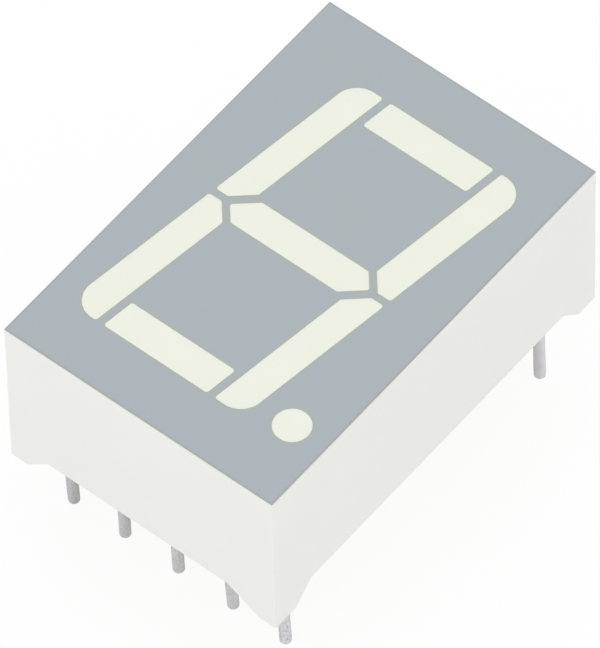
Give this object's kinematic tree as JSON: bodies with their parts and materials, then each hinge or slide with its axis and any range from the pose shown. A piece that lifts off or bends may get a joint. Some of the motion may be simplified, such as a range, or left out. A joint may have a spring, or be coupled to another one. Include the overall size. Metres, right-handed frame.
{
  "type": "seven-segment led display",
  "caption": "Single-digit seven-segment LED display with a decimal point: white reflector housing, grey face, milky segments and round through-hole pins.",
  "frame": {"origin": "centre of the ten-pin pattern, in the plane of the four corner feet that sit on a circuit board", "axes": "+X to the digit's right, +Y to the digit's top, +Z out of the display's face; the pins point along -Z"},
  "size_m": [0.0126, 0.019, 0.012],
  "materials": {
    "white_housing": "white moulded plastic, fine matt",
    "grey_print": "pale blue-grey printed ink, matt",
    "milky_resin": "milky diffusing epoxy, satin",
    "chip": "polished semiconductor die",
    "bond_wire": "drawn gold wire",
    "copper": "etched copper, lightly plated",
    "board": "glass-fibre laminate, natural green-yellow",
    "tinned_pin": "solder-dipped wire, mottled tin",
    "solder": "bright solder",
    "clear_resin": "clear sealing resin"
  },
  "bodies": {
    "root": {"reflector_housing": "white_housing", "face_print": "grey_print", "segment_a": "milky_resin", "segment_b": "milky_resin", "segment_c": "milky_resin", "segment_d": "milky_resin", "segment_e": "milky_resin", "segment_f": "milky_resin", "segment_g": "milky_resin", "decimal_point": "milky_resin", "led_chip_a": "chip", "bond_wire_a": "bond_wire", "track_a": "copper", "led_chip_b": "chip", "bond_wire_b": "bond_wire", "track_b": "copper", "led_chip_c": "chip", "bond_wire_c": "bond_wire", "track_c": "copper", "led_chip_d": "chip", "bond_wire_d": "bond_wire", "track_d": "copper", "led_chip_e": "chip", "bond_wire_e": "bond_wire", "track_e": "copper", "led_chip_f": "chip", "bond_wire_f": "bond_wire", "track_f": "copper", "led_chip_g": "chip", "bond_wire_g": "bond_wire", "track_g": "copper", "led_chip_point": "chip", "bond_wire_point": "bond_wire", "track_point": "copper", "track_common": "copper", "circuit_board": "board", "pin_1": "tinned_pin", "solder_joint_1": "solder", "pin_2": "tinned_pin", "solder_joint_2": "solder", "pin_3": "tinned_pin", "solder_joint_3": "solder", "pin_4": "tinned_pin", "solder_joint_4": "solder", "pin_5": "tinned_pin", "solder_joint_5": "solder", "pin_6": "tinned_pin", "solder_joint_6": "solder", "pin_7": "tinned_pin", "solder_joint_7": "solder", "pin_8": "tinned_pin", "solder_joint_8": "solder", "pin_9": "tinned_pin", "solder_joint_9": "solder", "pin_10": "tinned_pin", "solder_joint_10": "solder", "resin_bead": "clear_resin"}
  },
  "joints": []
}
